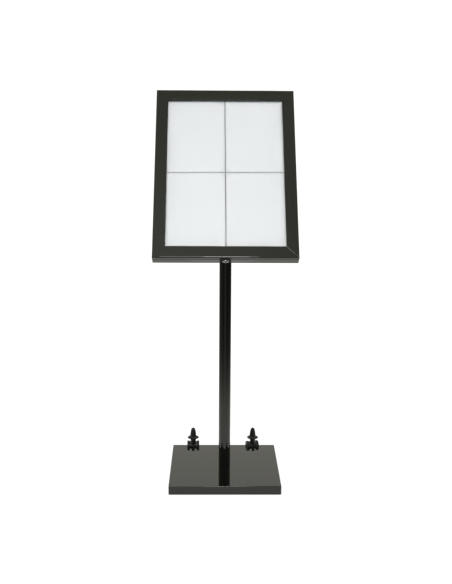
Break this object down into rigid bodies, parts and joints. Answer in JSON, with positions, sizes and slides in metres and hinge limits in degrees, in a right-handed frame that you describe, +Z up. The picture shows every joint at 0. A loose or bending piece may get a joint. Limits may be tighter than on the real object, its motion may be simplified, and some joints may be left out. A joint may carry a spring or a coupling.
{
  "type": "museum sign stand with tilted display case",
  "caption": "Free-standing sign stand: a tilted, lockable glazed page case on a round post with a square weighted base, and small plug-in casters parked on the base.",
  "frame": {"origin": "on the floor, on the axis of the post, at the centre of the base", "axes": "+Z up; -Y is the front, towards the reader; +X to the reader's right"},
  "size_m": [0.508, 0.5359, 1.3805],
  "materials": {
    "black_lacquered_steel": "gloss",
    "black_lacquered_aluminium": "gloss",
    "raw_steel": "satin",
    "zinc_steel": "satin",
    "chrome_lock": "polished",
    "cast_aluminium": "matte",
    "black_rubber": "matte",
    "black_nylon": "satin",
    "grey_board": "satin",
    "white_paper": "matte",
    "clear_acrylic": "polished",
    "clear_glazing": "polished"
  },
  "bodies": {
    "stand": {"base_cover": "black_lacquered_steel", "ballast_plate": "raw_steel", "base_floor_pan": "zinc_steel", "rubber_foot_1": "black_rubber", "rubber_foot_2": "black_rubber", "rubber_foot_3": "black_rubber", "rubber_foot_4": "black_rubber", "centre_plug": "black_rubber", "post_washer": "zinc_steel", "post_bolt": "zinc_steel", "post_tube": "black_lacquered_steel", "post_plug": "raw_steel", "head_plate": "black_lacquered_steel", "backing_plate": "zinc_steel", "head_bolt_1": "zinc_steel", "head_bolt_2": "zinc_steel", "head_bolt_3": "zinc_steel", "head_bolt_4": "zinc_steel", "case_body": "black_lacquered_steel", "page_board": "grey_board", "board_rail_left": "zinc_steel", "board_rail_right": "zinc_steel", "door_seal": "black_rubber", "page_top_left": "white_paper", "page_top_right": "white_paper", "page_bottom_left": "white_paper", "page_bottom_right": "white_paper", "page_holding_disc": "clear_acrylic", "hinge_left_case_leaf": "black_lacquered_steel", "hinge_left_pin": "zinc_steel", "hinge_right_case_leaf": "black_lacquered_steel", "hinge_right_pin": "zinc_steel", "lock_barrel": "chrome_lock", "lock_nut": "zinc_steel"},
    "door": {"door_rail_left": "black_lacquered_aluminium", "door_rail_top": "black_lacquered_aluminium", "door_rail_right": "black_lacquered_aluminium", "door_rail_bottom": "black_lacquered_aluminium", "corner_key_1": "cast_aluminium", "corner_key_2": "cast_aluminium", "corner_key_3": "cast_aluminium", "corner_key_4": "cast_aluminium", "glazing": "clear_glazing", "glazing_gasket": "black_rubber", "lock_keeper": "zinc_steel", "hinge_left_door_leaf": "black_lacquered_steel", "hinge_right_door_leaf": "black_lacquered_steel"},
    "lock_core": {"lock_plug": "chrome_lock", "lock_cam": "zinc_steel"},
    "caster_left_frame": {"caster_left_hood": "black_nylon", "caster_left_axle": "zinc_steel"},
    "caster_left_stem": {"caster_left_plug": "black_nylon"},
    "caster_left_wheel_near": {"caster_left_wheel_a": "black_nylon"},
    "caster_left_wheel_far": {"caster_left_wheel_b": "black_nylon"},
    "caster_right_frame": {"caster_right_hood": "black_nylon", "caster_right_axle": "zinc_steel"},
    "caster_right_stem": {"caster_right_plug": "black_nylon"},
    "caster_right_wheel_near": {"caster_right_wheel_a": "black_nylon"},
    "caster_right_wheel_far": {"caster_right_wheel_b": "black_nylon"}
  },
  "joints": [
    {"name": "door_hinge", "type": "hinge", "parent": "stand", "child": "door", "pos_m": [0, 0.31451, 1.37721], "axis": [-1, 0, 0], "range_deg": [0, 100]},
    {"name": "lock_turn", "type": "hinge", "parent": "stand", "child": "lock_core", "pos_m": [0, -0.04384, 0.79566], "axis": [0, 0.5446, 0.8387], "range_deg": [0, 90]},
    {"name": "caster_left_lift", "type": "slide", "parent": "stand", "child": "caster_left_frame", "axis": [0, 0, 1], "range_m": [0, 0.15]},
    {"name": "caster_left_swivel", "type": "hinge", "parent": "caster_left_frame", "child": "caster_left_stem", "pos_m": [-0.117, 0.133, 0.0763], "axis": [0, 0, 1], "continuous": true},
    {"name": "caster_left_wheel_a_spin", "type": "hinge", "parent": "caster_left_frame", "child": "caster_left_wheel_near", "pos_m": [-0.117, 0.139, 0.0513], "axis": [1, 0, 0], "continuous": true},
    {"name": "caster_left_wheel_b_spin", "type": "hinge", "parent": "caster_left_frame", "child": "caster_left_wheel_far", "pos_m": [-0.117, 0.139, 0.0513], "axis": [1, 0, 0], "continuous": true},
    {"name": "caster_right_lift", "type": "slide", "parent": "stand", "child": "caster_right_frame", "axis": [0, 0, 1], "range_m": [0, 0.15]},
    {"name": "caster_right_swivel", "type": "hinge", "parent": "caster_right_frame", "child": "caster_right_stem", "pos_m": [0.109, 0.133, 0.0763], "axis": [0, 0, 1], "continuous": true},
    {"name": "caster_right_wheel_a_spin", "type": "hinge", "parent": "caster_right_frame", "child": "caster_right_wheel_near", "pos_m": [0.10775, 0.13887, 0.0513], "axis": [0.9781, 0.2079, 0], "continuous": true},
    {"name": "caster_right_wheel_b_spin", "type": "hinge", "parent": "caster_right_frame", "child": "caster_right_wheel_far", "pos_m": [0.10775, 0.13887, 0.0513], "axis": [0.9781, 0.2079, 0], "continuous": true}
  ]
}
